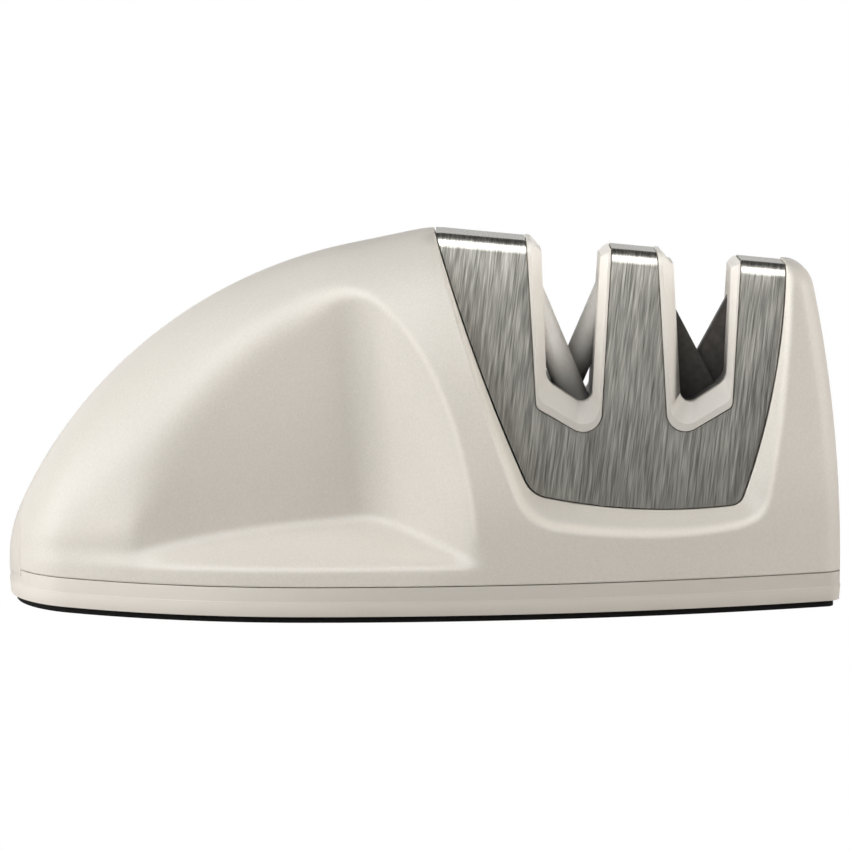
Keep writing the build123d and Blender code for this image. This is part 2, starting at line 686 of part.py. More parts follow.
def base_tray():
    """The tray that closes the shell: two bands, a locating rim, screw posts and the tab at the tail."""
    band = Pos(0, 0, LEDGE_Z) * plan_face(0)
    tray = extrude(band, LEDGE_Z - FOOT_SHOW, dir=(0, 0, -1), taper=TRAY_TAPER)
    tray += plate(LEDGE_STEP, LEDGE_Z, SEAM_Z)
    tray += plate(SHELL_WALL + RIM_FIT, SEAM_Z, SEAM_Z + LIP_RISE)
    tray -= plate(LEDGE_STEP + TRAY_WALL, FOOT_TOP_Z + TRAY_FLOOR, FAR)
    tray -= plate(FOOT_INSET - FIT_GAP, 0, FOOT_TOP_Z)
    lump = dome(0, OVERRUN)
    tray += (lump & tail_tab(0)) - Pos(TAB_THICK, 0, 0) * lump
    for x, y in BASE_SCREWS:
        tray += post(SHELL_BOSS_RADIUS, x, y, FOOT_TOP_Z, SEAM_Z)
        tray -= post(SCREW_HEAD_RADIUS + HEAD_SEAT_GAP, x, y, 0, BASE_SEAT_Z)
        tray -= post(SCREW_RADIUS + SCREW_FREE, x, y, 0, FAR)
    return tray


def shell_skin():
    """The shell's outside as a lump, with its hollows, dished rims and notch."""
    lump = dome(0, 0)
    ends = [e for e in lump.edges() if e.center().X > RIGHT_BOSS_X and e.center().Z > SEAM_Z + OVERRUN]
    lump = soften(lump, ends, END_CORNER)
    half = split(lump, bisect_by=Plane.XZ, keep=Keep.TOP)
    tool = hollow(0)
    inner = [e.center() for e in tool.edges()]
    half = half - tool
    ridge = [
        e
        for e in half.edges()
        if e.geom_type == GeomType.BSPLINE
        and SEAM_Z + OVERRUN < e.center().Z
        and e.center().Y < valley_place(e.center().Z)[1]
        and e.center().X < COVER_HEEL_X
        and min((e.center() - c).length for c in inner) > OVERRUN
    ]
    half = soften(half, ridge, HOLLOW_EDGE)
    half = half - dish(0) - upright(cover_outline(COVER_GAP))
    return half + mirrored(half)


def cavity():
    """The room inside the shell, open below."""
    room = dome(SHELL_WALL, OVERRUN)
    for tool in (hollow(SHELL_WALL), dish(SHELL_WALL)):
        room = room - tool - mirrored(tool)
    return room - upright(cover_outline(COVER_GAP + SHELL_WALL))


def body_shell():
    """The grip: a hollow moulding with screw bosses and a ledge under the head."""
    bosses = []
    holes = [tail_tab(TAB_GAP)]
    for x, y in BASE_SCREWS:
        top = LEFT_BOSS_TOP_Z if x < 0 else RIGHT_BOSS_TOP_Z
        bosses.append(post(SHELL_BOSS_RADIUS, x, y, SEAM_Z - OVERRUN, top))
        holes.append(post(SCREW_RADIUS + SCREW_GAP, x, y, 0, BASE_SEAT_Z + BASE_SCREW_LONG + PILOT_SPARE))
    for x, y in HEAD_SCREWS:
        bosses.append(post(LEDGE_BOSS_RADIUS, x, y, LEDGE_BOSS_Z, LEDGE_SEAT_Z))
        holes.append(post(SCREW_RADIUS + SCREW_FREE, x, y, 0, LEDGE_BOSS_Z + HEAD_SCREW_LONG))
    return shell_skin() - (cavity() - bosses) - holes


def write(name, made):
    """One file for each piece."""
    export_step(made, os.path.join("parts", name + ".step"))


if __name__ == "__main__":
    os.makedirs("parts", exist_ok=True)
    write("body_shell", body_shell())
    write("base_tray", base_tray())
    write("rubber_foot", rubber_foot())
    write("steel_cover", cover())
    write("cartridge_front", cartridge(-1))
    write("cartridge_rear", cartridge(1))
    write("fine_rod_front", fine_rod(-1))
    write("fine_rod_rear", fine_rod(1))
    write("coarse_blade_front", blade(-1, 0))
    write("coarse_blade_rear", blade(1, 0))
    write("cartridge_screws", cartridge_screws())
    write("head_screws", head_screws())
    write("base_screws", base_screws())
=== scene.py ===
import bpy
import bmesh
import math
import numpy as np
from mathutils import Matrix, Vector

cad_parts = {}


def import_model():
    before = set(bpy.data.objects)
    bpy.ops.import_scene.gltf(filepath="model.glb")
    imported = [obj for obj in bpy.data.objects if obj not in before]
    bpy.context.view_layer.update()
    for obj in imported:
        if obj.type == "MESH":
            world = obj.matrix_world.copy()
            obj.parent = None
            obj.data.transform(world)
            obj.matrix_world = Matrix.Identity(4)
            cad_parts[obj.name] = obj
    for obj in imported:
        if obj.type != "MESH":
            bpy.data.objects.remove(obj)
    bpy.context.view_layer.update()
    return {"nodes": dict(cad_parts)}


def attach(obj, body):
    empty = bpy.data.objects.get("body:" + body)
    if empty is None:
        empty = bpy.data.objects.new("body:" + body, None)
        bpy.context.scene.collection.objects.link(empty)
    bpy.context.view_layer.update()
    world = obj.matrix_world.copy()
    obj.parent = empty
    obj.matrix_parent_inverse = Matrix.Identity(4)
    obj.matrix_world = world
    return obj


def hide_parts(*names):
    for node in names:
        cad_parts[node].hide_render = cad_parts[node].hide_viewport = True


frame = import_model()
MM = 0.001

# Sizes of the body, in millimetres. SILL_Z and RIM_GROW differ a little from the CAD source's sizes.
LENGTH, WIDTH, WIDEST_X, END_WIDTH = 145.4, 52.0, -19.8, 23.0
FLANK_RADIUS, END_CORNER, SEAM_Z = 105.0, 3.0, 6.2
CROWN_X, CROWN_Z, CROWN_RADIUS, HEAD_FALL = 4.0, 63.9, 82.4, math.radians(5.3)
RAMP, PEAK_X, PEAK_RADIUS = math.radians(11.7), 2.55, 18.0
END_RADIUS, END_PLUMB_Z, END_LEAN, SHOULDER_RADIUS = 228.0, 8.0, math.radians(6.0), 4.5
VALLEY_X, VALLEY_HALF, VALLEY_LEAN, VALLEY_RAKE = -6.4, 15.1, math.radians(5.7), math.radians(3.4)
HOLLOW_LEFT, HOLLOW_RIGHT = math.radians(8.2), math.radians(31.0)
SILL_INSET, SILL_Z, SILL_SLOPE = 0.3, 9.8, math.radians(29.0)
HEAD_HALF, HEAD_CLOSE, HEAD_LEAN, HEAD_DATUM_Z = 7.9, 0.03, 0.125, 60.0
COVER_LEFT, COVER_HEEL, COVER_TOE, COVER_RIGHT = (2.3, 64.8), (18.9, 20.1), (54.8, 18.2), (62.6, 59.0)
COVER_BOWS, COVER_RADII, COVER_GAP, NOTCH_TOP_Z = (0.9, 1.6, 1.8), (5.0, 2.5), 0.25, 75.0
RIM_GROW, RIM_RADII, RIM_ROUND = (0.7, 0.7, 3.3, 7.0, 1.6), (9.0, 6.0), 1.0
RIM_HALF, RIM_CLOSE, RIM_LEAN, RIM_DATUM_X, RIM_DATUM_Z = 24.0, 0.18, 0.06, 16.0, 20.0
TAB_HALF, TAB_TOP_Z, TAB_GAP, TAB_REACH = 10.0, 17.5, 0.15, 16.0

# How many points the curves have, and the least that lengths and gaps are held to.
TURN_STEPS, SHOULDER_STEPS, CORNER_STEPS, ARC_STEPS = 121, 61, 13, 24
TINY, LEAST_GAP = 1e-6, 1.0

TAIL_X, END_X = -LENGTH / 2, LENGTH / 2
BOW_SAG = (WIDTH - END_WIDTH) / 2
BOW_RADIUS = ((END_X - WIDEST_X) ** 2 + BOW_SAG**2) / (2 * BOW_SAG)


def end_circle(radius, run, drop):
    return (radius**2 - run**2 - drop**2) / (2 * (radius - run))


TIP_RADIUS = end_circle(FLANK_RADIUS, WIDEST_X - TAIL_X, FLANK_RADIUS - WIDTH / 2)
TIP_X = TAIL_X + TIP_RADIUS
CROWN_CENTRE_Z = CROWN_Z - CROWN_RADIUS
STERN_RADIUS = end_circle(CROWN_RADIUS, CROWN_X - TAIL_X, SEAM_Z - CROWN_CENTRE_Z)
STERN_X = TAIL_X + STERN_RADIUS
PEAK_RUN = CROWN_RADIUS - PEAK_RADIUS + (PEAK_X - CROWN_X) * math.sin(RAMP)
PEAK_CENTRE_Z = CROWN_CENTRE_Z + PEAK_RUN / math.cos(RAMP)


def root(value):
    return np.sqrt(np.maximum(value, 0))


def half_width(x, inset=0.0):
    turn = (TIP_X - WIDEST_X) / (FLANK_RADIUS - TIP_RADIUS)
    tip = root((TIP_RADIUS - inset) ** 2 - (x - TIP_X) ** 2)
    radius = np.where(x >= WIDEST_X, BOW_RADIUS, FLANK_RADIUS)
    flank = WIDTH / 2 - radius + root((radius - inset) ** 2 - (x - WIDEST_X) ** 2)
    return np.where(x < WIDEST_X + turn * (FLANK_RADIUS - inset), tip, flank)


def crest(x, inset=0.0):
    turn = (STERN_X - CROWN_X) / (CROWN_RADIUS - STERN_RADIUS)
    stern = SEAM_Z + root((STERN_RADIUS - inset) ** 2 - (x - STERN_X) ** 2)
    radius, peak = CROWN_RADIUS - inset, PEAK_RADIUS - inset
    ramp_x, fall_x = CROWN_X - radius * math.sin(RAMP), PEAK_X + peak * math.sin(HEAD_FALL)
    ramp = CROWN_CENTRE_Z + root(radius**2 - (np.minimum(x, ramp_x) - CROWN_X) ** 2)
    ramp = ramp + np.maximum(0, x - ramp_x) * math.tan(RAMP)
    fall = PEAK_CENTRE_Z + root(peak**2 - (np.minimum(x, fall_x) - PEAK_X) ** 2)
    fall = fall - np.maximum(0, x - fall_x) * math.tan(HEAD_FALL)
    crown = np.where(x < PEAK_X - peak * math.sin(RAMP), ramp, fall)
    return np.where(x < CROWN_X + turn * radius, stern, crown)


def step(value, low, high):
    held = np.clip((value - low) / (high - low), 0, 1)
    return held * held * (3 - 2 * held)


def side_curve(points, shares):
    """Points at the given shares of the way along a line of points."""
    run = np.concatenate([[0], np.cumsum(np.hypot(*np.diff(points, axis=0).T))])
    return np.column_stack([np.interp(shares * run[-1], run, points[:, k]) for k in (0, 1)])


TURNS = np.linspace(0, math.pi / 2, TURN_STEPS)


def section(x, inset, shares):
    """One side of the body's cross section at x: distance from the middle plane and height."""
    square = float(step(x, CROWN_X, END_X))
    half = float(half_width(np.float64(x), inset))
    rise = max(float(crest(np.float64(x), inset)) - SEAM_Z, TINY)
    soft = side_curve(np.column_stack([half * np.cos(TURNS), rise * np.sin(TURNS)]), shares)
    radius = SHOULDER_RADIUS - inset
    flank = half - math.tan(END_LEAN) * (rise - radius + radius * math.sin(END_LEAN))
    turns = END_LEAN + (math.pi / 2 - END_LEAN) * np.linspace(0, 1, SHOULDER_STEPS)
    middle = flank - radius * math.cos(END_LEAN)
    arc = np.column_stack([middle + radius * np.cos(turns), rise - radius + radius * np.sin(turns)])
    hard = side_curve(np.vstack([[half, 0], arc, [0, rise]]), shares)
    both = soft + square * (hard - soft)
    return both[:, 0], SEAM_Z + both[:, 1]


def end_x(z):
    return END_X - END_RADIUS + root(END_RADIUS**2 - (z - END_PLUMB_Z) ** 2)


def smooth_max(a, b, k):
    return np.maximum(a, b) + np.maximum(k - np.abs(a - b), 0) ** 2 / (4 * k)


def smooth_min(a, b, k):
    return np.minimum(a, b) - np.maximum(k - np.abs(a - b), 0) ** 2 / (4 * k)


def arc_points(start, end, bow, count=ARC_STEPS):
    """Points on an arc that bows to the right of the way from start to end."""
    start, end = np.array(start), np.array(end)
    along = end - start
    length = np.hypot(*along)
    normal = np.array([along[1], -along[0]]) / length
    radius = (length**2 / 4 + bow**2) / (2 * bow)
    s = np.linspace(-0.5, 0.5, count) * length
    sag = root(radius**2 - s**2) - (radius - bow)
    return start + np.outer(s / length + 0.5, along) + np.outer(sag, normal)


def rounded(lines, corner_radii):
    """Joins lines of points end to end, each corner rounded by an arc of points."""
    path = [lines[0]]
    for line, radius in zip(lines[1:], corner_radii):
        before = path[-1]
        corner = before[-1]
        back = (before[-2] - corner) / np.hypot(*(before[-2] - corner))
        on = (line[1] - corner) / np.hypot(*(line[1] - corner))
        half = math.acos(np.clip(back @ on, -1, 1)) / 2
        cut = radius / math.tan(half)
        before = before[np.hypot(*(before - corner).T) > cut]
        line = line[np.hypot(*(line - corner).T) > cut]
        centre = corner + (back + on) / np.hypot(*(back + on)) * radius / math.sin(half)
        first, last = corner + back * cut - centre, corner + on * cut - centre
        turn = math.atan2(first[0] * last[1] - first[1] * last[0], first @ last)
        angles = np.linspace(0, turn, CORNER_STEPS)
        arc = centre + np.column_stack(
            [first[0] * np.cos(angles) - first[1] * np.sin(angles),
             first[0] * np.sin(angles) + first[1] * np.cos(angles)]
        )
        path[-1] = before
        path += [arc, line]
    return np.vstack(path)


def head_outline(grow, corner_radii):
    """Front view of the cover, opened out by the given amounts."""
    left_top, left_low, low, right_low, right_top = grow
    start = (COVER_LEFT[0] - left_top, COVER_LEFT[1])
    heel = (COVER_HEEL[0] - left_low, COVER_HEEL[1] - low)
    toe = (COVER_TOE[0] + right_low, COVER_TOE[1] - low)
    end = (COVER_RIGHT[0] + right_top, COVER_RIGHT[1])
    spots = (start, heel, toe, end)
    lines = [arc_points(a, b, bow) for a, b, bow in zip(spots, spots[1:], COVER_BOWS)]
    return np.vstack([rounded(lines, corner_radii), [[end[0], NOTCH_TOP_Z], [start[0], NOTCH_TOP_Z]]])


def outline_distance(points, outline):
    """Distance from points to a closed outline, positive outside it."""
    nearest = np.full(len(points), 1e9)
    inside = np.zeros(len(points), bool)
    for a, b in zip(outline, np.roll(outline, -1, axis=0)):
        run = b - a
        share = np.clip((points - a) @ run / max(run @ run, 1e-12), 0, 1)
        nearest = np.minimum(nearest, np.hypot(*(points - a - np.outer(share, run)).T))
        if a[1] != b[1]:
            crosses = (a[1] > points[:, 1]) != (b[1] > points[:, 1])
            at = a[0] + (points[:, 1] - a[1]) * run[0] / run[1]
            inside ^= crosses & (points[:, 0] < at)
    return np.where(inside, -nearest, nearest)


COVER = head_outline((0,) * 5, COVER_RADII)
NOTCH = head_outline((COVER_GAP,) * 5, [radius + COVER_GAP for radius in COVER_RADII])
RIM = head_outline(RIM_GROW, RIM_RADII)

# The shallow end of the hollow towards the tail, and where it fades out along the length.
END_INSET, END_BLEND, END_FADE_X = 0.7, 0.6, (-66, -50)
# How widely the cut faces run into each other.
SOFT_BLEND, EDGE_BLEND, LIP_BLEND, VALLEY_BLEND, SILL_BLEND = 2.4, 0.6, 1.0, 3.0, 3.0
RIM_BLENDS = (0.5, 6.0)
# Where those blends change, along the length or up the height.
SOFT_X, SOFT_Z, LIP_Z = (-24, -7), (11, 26), (10, 16)
# How strongly the painted highlight lies on the hollow's ridge, next to the rim's, and the heights over
# which that sets in.
HOLLOW_CREST, CREST_Z = 0.7, (12, 18)
SILL_LOW_HALF, SILL_HIGH_HALF = WIDTH / 2 - SILL_INSET, VALLEY_HALF / 2
SILL_RISE = (SILL_LOW_HALF - SILL_HIGH_HALF) * math.tan(SILL_SLOPE)


def hollow_reach(x, z):
    """How far the finger hollow's faces lie from the middle plane."""
    valley_x = VALLEY_X - (z - SEAM_Z) * math.tan(VALLEY_LEAN)
    valley_half = VALLEY_HALF - (z - SEAM_Z) * math.tan(VALLEY_RAKE)
    left = valley_half - (x - valley_x) * math.tan(HOLLOW_LEFT)
    right = valley_half + (x - valley_x) * math.tan(HOLLOW_RIGHT)
    narrowing = 1 - (1 - SILL_HIGH_HALF / SILL_LOW_HALF) * (z - SILL_Z) / SILL_RISE
    sill = half_width(x, SILL_INSET) * narrowing
    floor_half = smooth_max(left, right, VALLEY_BLEND)
    end_half = half_width(x, END_INSET * step(x, *END_FADE_X))
    end_half = np.where(x < VALLEY_X, end_half, floor_half + END_BLEND)
    return smooth_max(smooth_min(floor_half, end_half, END_BLEND), sill, SILL_BLEND)


def dish_reach(x, z):
    """How far the dished rim round the cover lies from the middle plane, and how steep it is."""
    flat = np.column_stack([x, z])
    cover, rim = outline_distance(flat, COVER), outline_distance(flat, RIM)
    cover = np.maximum(cover, 0)
    gap = np.maximum(cover - rim, TINY)
    share = np.where(rim > 0, 1 + rim / np.maximum(gap, LEAST_GAP), cover / gap)
    face = HEAD_HALF - HEAD_CLOSE * x + HEAD_LEAN * (HEAD_DATUM_Z - z)
    brim = RIM_HALF - RIM_CLOSE * (x - RIM_DATUM_X) - RIM_LEAN * (z - RIM_DATUM_Z)
    return face + share * (brim - face), (brim - face) / np.maximum(gap, LEAST_GAP)


def soft_share(x, z):
    """Where the hollow runs softly into the body: 1 at its upper left side."""
    return (1 - step(x, *SOFT_X)) * step(z, *SOFT_Z)


def hollow_blend(x, z):
    return EDGE_BLEND + LIP_BLEND * (1 - step(z, *LIP_Z)) + SOFT_BLEND * soft_share(x, z)


def rim_blend(slope):
    return np.clip(RIM_ROUND * slope, *RIM_BLENDS)


def carved(x, y, z):
    """How far the body reaches from the middle plane once the hollow and the dished rim are cut."""
    y = smooth_min(y, hollow_reach(x, z), hollow_blend(x, z))
    dish, slope = dish_reach(x, z)
    return np.maximum(smooth_min(y, dish, rim_blend(slope)), 0)


def ridge_share(depth, blend):
    """1 on the middle of a rounded ridge, 0 beside it, from the depth below the cut face."""
    return step(1 - np.abs(1 - 2 * root(depth / blend)), 0, 1)


def crest_share(x, y, z):
    """How near a point of the finished body is to the ridge of the dished rim or of the hollow."""
    dish, slope = dish_reach(x, z)
    rim = ridge_share(dish - y, rim_blend(slope))
    hollow = ridge_share(hollow_reach(x, z) - y, hollow_blend(x, z))
    return np.maximum(rim, HOLLOW_CREST * hollow * step(z, *CREST_Z) * (1 - soft_share(x, z)))


def new_mesh(name, vertices, faces, body="housing", slot=None):
    mesh = bpy.data.meshes.new(name)
    mesh.from_pydata((np.asarray(vertices) * MM).tolist(), [], faces)
    mesh.validate()
    made = bpy.data.objects.new(name, mesh)
    bpy.context.collection.objects.link(made)
    if body:
        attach(made, body)
    return made


def cut(target, tool):
    """Takes the tool away from the target and removes the tool."""
    modifier = target.modifiers.new("cut", "BOOLEAN")
    modifier.operation, modifier.object, modifier.solver = "DIFFERENCE", tool, "MANIFOLD"
    bpy.context.view_layer.update()
    made = bpy.data.meshes.new_from_object(target.evaluated_get(bpy.context.evaluated_depsgraph_get()))
    target.modifiers.clear()
    target.data = made
    bpy.data.objects.remove(tool)


def prism(name, outline, low, high, place):
    """A closed outline pushed from low to high; place turns (u, v, w) into a point."""
    count = len(outline)
    vertices = [place(u, v, w) for w in (low, high) for u, v in outline]
    faces = [(i, (i + 1) % count, count + (i + 1) % count, count + i) for i in range(count)]
    faces += [tuple(range(count))[::-1], tuple(range(count, 2 * count))]
    made = new_mesh(name, vertices, faces, body=None)
    bm = bmesh.new()
    bm.from_mesh(made.data)
    bmesh.ops.recalc_face_normals(bm, faces=bm.faces)
    bm.to_mesh(made.data)
    bm.free()
    return made


# How the mesh's rows and stations are spaced: close at the seam and at the tail.
SEAM_SHARES, FIRST_SHARE = np.array([0, 0.0012, 0.003, 0.0055, 0.009]), 0.014
FIRST_STATION, STATION_POWER = 0.02, 1.5
# Sections round the end corner, the share of its inset that they take, and where sections start to lean.
END_TURNS, CORNER_SHARE, LEAN_START_X = 10, 0.999, 40


def body_mesh(stations=282, rows=130, caps=24):
    """The grip as one closed lump, before its hollows and dished rims."""
    shares = np.concatenate([SEAM_SHARES, np.linspace(FIRST_SHARE, 1, rows - len(SEAM_SHARES))])
    run = np.linspace(FIRST_STATION, 1, stations) ** STATION_POWER
    spots = [(TAIL_X + (LENGTH - END_CORNER) * share, 0.0) for share in run]
    for turn in np.linspace(0, math.pi / 2, END_TURNS)[1:]:
        inset = END_CORNER * (1 - math.cos(turn))
        spots.append((END_X - END_CORNER + END_CORNER * math.sin(turn), inset * CORNER_SHARE))
    grid = []
    for x, inset in spots:
        y, z = section(min(x, END_X), inset, shares)
        lean = float(step(x, LEAN_START_X, END_X - END_CORNER))
        for _ in range(2):
            moved = x - lean * (END_X - end_x(z))
            rise = max(float(crest(np.float64(x), inset)) - SEAM_Z, TINY)
            rise = (crest(moved, inset) - SEAM_Z) / rise
            z = SEAM_Z + (section(x, inset, shares)[1] - SEAM_Z) * rise
        y = y * half_width(moved, inset) / max(float(half_width(np.float64(x), inset)), TINY)
        grid.append(np.column_stack([moved, y, z]))
    grid = np.array(grid)
    grid[:, -1, 1] = 0
    count, high = grid.shape[:2]
    front = grid * (1, -1, 1)
    loop = np.concatenate([front, grid[:, -2::-1]], axis=1)
    wide = loop.shape[1]
    vertices = [tuple(p) for p in loop.reshape(-1, 3)]
    faces = []
    for i in range(count - 1):
        for j in range(wide - 1):
            a = i * wide + j
            faces.append((a, a + 1, a + wide + 1, a + wide))
        if i < count - 2:
            faces.append((i * wide, (i + 1) * wide, (i + 1) * wide + wide - 1, i * wide + wide - 1))
    tail = len(vertices)
    vertices.append((TAIL_X, 0.0, SEAM_Z))
    for j in range(wide - 1):
        faces.append((tail, j + 1, j))
    faces.append((tail, 0, wide - 1))
    last = (count - 1) * wide
    ids = np.zeros((high, caps + 1), int)
    for j in range(high):
        ids[j, 0], ids[j, caps] = last + j, last + wide - 1 - j
        for m in range(1, caps):
            if j == high - 1:
                ids[j, m] = last + j
                continue
            share = m / caps
            a, b = loop[-1, j], loop[-1, wide - 1 - j]
            ids[j, m] = len(vertices)
            vertices.append(tuple(a + share * (b - a)))
    ids[high - 1, :] = last + high - 1
    for j in range(high - 1):
        for m in range(caps):
            quad = (ids[j, m], ids[j, m + 1], ids[j + 1, m + 1], ids[j + 1, m])
            faces.append(tuple(dict.fromkeys(int(q) for q in quad)))
    faces.append(((count - 2) * wide, *(int(q) for q in ids[0]), (count - 2) * wide + wide - 1))
    return vertices, faces


# The rounded seam, the region that gets smaller faces, and the angle from which an edge stays sharp.
SEAM_ROUND, SEAM_GAP, SEAM_OUTER_Y = 0.4, 0.15, 3
DENSE_X, DENSE_Y, DENSE_Z = -3, 2, 11
SHARP_ANGLE = math.radians(38)


def carve(made):
    """Splits the faces near the ridges into smaller ones, then cuts the hollows and dished rims."""
    bm = bmesh.new()
    bm.from_mesh(made.data)
    bm.verts.ensure_lookup_table()
    at = np.array([v.co for v in bm.verts]) / MM
    x, y, z = at[:, 0], np.abs(at[:, 1]), at[:, 2]
    near = (x > DENSE_X) & (z > DENSE_Z) & (y > DENSE_Y)
    edges = [e for e in bm.edges if near[e.verts[0].index] and near[e.verts[1].index]]
    bmesh.ops.subdivide_edges(bm, edges=edges, cuts=1, use_grid_fill=True)
    at = np.array([v.co for v in bm.verts]) / MM
    side, y = np.sign(at[:, 1]), np.abs(at[:, 1])
    low = np.maximum(SEAM_ROUND - (at[:, 2] - SEAM_Z), 0)
    drawn_in = (SEAM_ROUND - root(SEAM_ROUND**2 - low**2)) * (y > SEAM_OUTER_Y)
    reach = carved(at[:, 0], y, at[:, 2]) - drawn_in
    at[:, 1] = side * np.minimum(y, np.maximum(reach, 0))
    at[:, 2] = np.maximum(at[:, 2], SEAM_Z + SEAM_GAP)
    for v, place in zip(bm.verts, at * MM):
        v.co = place
    bmesh.ops.recalc_face_normals(bm, faces=bm.faces)
    bm.to_mesh(made.data)
    bm.free()


def arch(half, top, count=32):
    """The tail tab's outline, seen from the tail."""
    turns = np.linspace(0, math.pi, count)
    curve = np.column_stack([half * np.cos(turns), SEAM_Z + (top - SEAM_Z) * np.sin(turns)])
    return np.vstack([curve, [[-half, 0], [half, 0]]])


grip = new_mesh("grip", *body_mesh(), slot="grip_plastic")
carve(grip)
cut(grip, prism("notch_tool", NOTCH, -WIDTH, WIDTH, lambda u, v, w: (u, w, v)))
tab = arch(TAB_HALF + TAB_GAP, TAB_TOP_Z + TAB_GAP)
cut(grip, prism("tab_tool", tab, TAIL_X - TAB_REACH, TAIL_X + TAB_REACH, lambda u, v, w: (w, u, v)))
grip.data.shade_smooth()
grip.data.set_sharp_from_angle(angle=SHARP_ANGLE)
# The crest share is kept on the grip, where the cream colour paints a highlight along the ridges.
spots = np.array([v.co for v in grip.data.vertices]) / MM
crest_highlight = grip.data.attributes.new("crest", "FLOAT", "POINT")
crest_highlight.data.foreach_set("value", crest_share(spots[:, 0], np.abs(spots[:, 1]), spots[:, 2]))
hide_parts("body_shell")


# Places of a Mix node's colour sockets: its two inputs and its output.
MIX_FROM, MIX_TO, MIX_OUT = 6, 7, 2


def nodes_of(name):
    material = bpy.data.materials.new(name)
    material.use_nodes = True
    tree = material.node_tree
    return material, tree, tree.nodes["Principled BSDF"]


def put(tree, kind, **inputs):
    node = tree.nodes.new(kind)
    for key, value in inputs.items():
        node.inputs[key.replace("_", " ")].default_value = value
    return node


def mapped(tree, vector, **inputs):
    mapping = put(tree, "ShaderNodeMapping", **inputs)
    tree.links.new(vector, mapping.inputs["Vector"])
    return mapping.outputs["Vector"]


def noise(tree, vector, scale, detail):
    texture = put(tree, "ShaderNodeTexNoise", Scale=scale, Detail=detail, Roughness=0.55)
    tree.links.new(vector, texture.inputs["Vector"])
    return texture.outputs["Fac"]


def ramp(tree, value, low, high, start=0.3, end=0.7, kind="LINEAR"):
    node = tree.nodes.new("ShaderNodeMapRange")
    node.interpolation_type = kind
    numbers = (start, end, low, high)
    for key, number in zip(("From Min", "From Max", "To Min", "To Max"), numbers):
        node.inputs[key].default_value = number
    tree.links.new(value, node.inputs["Value"])
    return node.outputs["Result"]


def bump(tree, value, strength, distance, shader):
    node = put(tree, "ShaderNodeBump", Strength=strength, Distance=distance)
    tree.links.new(value, node.inputs["Height"])
    tree.links.new(node.outputs["Normal"], shader.inputs["Normal"])


def coords(tree):
    return tree.nodes.new("ShaderNodeTexCoord").outputs["Object"]


def math_node(tree, kind, first, second, third=None):
    node = tree.nodes.new("ShaderNodeMath")
    node.operation = kind
    for socket, value in zip(node.inputs, (first, second, third)):
        if isinstance(value, (int, float)):
            socket.default_value = value
        elif value is not None:
            tree.links.new(value, socket)
    return node.outputs[0]


def tint(tree, value, dark, light, shader, shade=None):
    """Colour between dark and light, multiplied by the shade."""
    node = tree.nodes.new("ShaderNodeMix")
    node.data_type = "RGBA"
    node.inputs[MIX_FROM].default_value = (*dark, 1)
    node.inputs[MIX_TO].default_value = (*light, 1)
    tree.links.new(value, node.inputs[0])
    colour = node.outputs[MIX_OUT]
    if shade is not None:
        scaled = tree.nodes.new("ShaderNodeVectorMath")
        scaled.operation = "SCALE"
        tree.links.new(colour, scaled.inputs[0])
        tree.links.new(shade, scaled.inputs["Scale"])
        colour = scaled.outputs[0]
    tree.links.new(colour, shader.inputs["Base Color"])


def place_on(tree, where, axis):
    """X, the distance from the middle plane for Y, or Z, in metres."""
    split = tree.nodes.new("ShaderNodeSeparateXYZ")
    tree.links.new(where, split.inputs[0])
    value = split.outputs[axis]
    return math_node(tree, "ABSOLUTE", value, 0.0) if axis == "Y" else value


def fall(tree, where, axis, low, high, least, most):
    """A factor that goes from least to most between two places in millimetres along an axis."""
    return ramp(tree, place_on(tree, where, axis), least, most, low * MM, high * MM, "SMOOTHSTEP")


# Noise scales in cells to the metre, the share of each noise, bump depths in metres, and shine.
BROAD_SCALE, BROAD_SHARE, FINE_SHARE = 45, 0.3, 0.7
STREAK_SCALES = (8000, 900, 200), (4300, 600, 130), (120, 60, 50)
STREAK_SHARES, STREAK_RANGE, STREAK_BUMP = (0.40, 0.45, 0.15), (0.36, 0.64), 0.35
GRAIN_DEPTH, STREAK_DEPTH, DULL_DEPTH = 0.00006, 0.00004, 0.00005
PLASTIC_SHINE, BRUSHED_SPREAD = 0.4, 0.6


def plastic(name, dark, light, rough=(0.36, 0.46), grain=2600, strength=0.3, shading=None):
    material, tree, shader = nodes_of(name)
    where = coords(tree)
    shade = shading(tree, where) if shading else None
    fine = noise(tree, where, grain, detail=3)
    broad = noise(tree, where, BROAD_SCALE, detail=4)
    mottled = math_node(tree, "MULTIPLY", fine, FINE_SHARE)
    mottled = math_node(tree, "MULTIPLY_ADD", broad, BROAD_SHARE, mottled)
    tint(tree, ramp(tree, mottled, 0, 1), dark, light, shader, shade)
    tree.links.new(ramp(tree, fine, *rough), shader.inputs["Roughness"])
    bump(tree, fine, strength, GRAIN_DEPTH, shader)
    shader.inputs["Specular IOR Level"].default_value = PLASTIC_SHINE
    return material


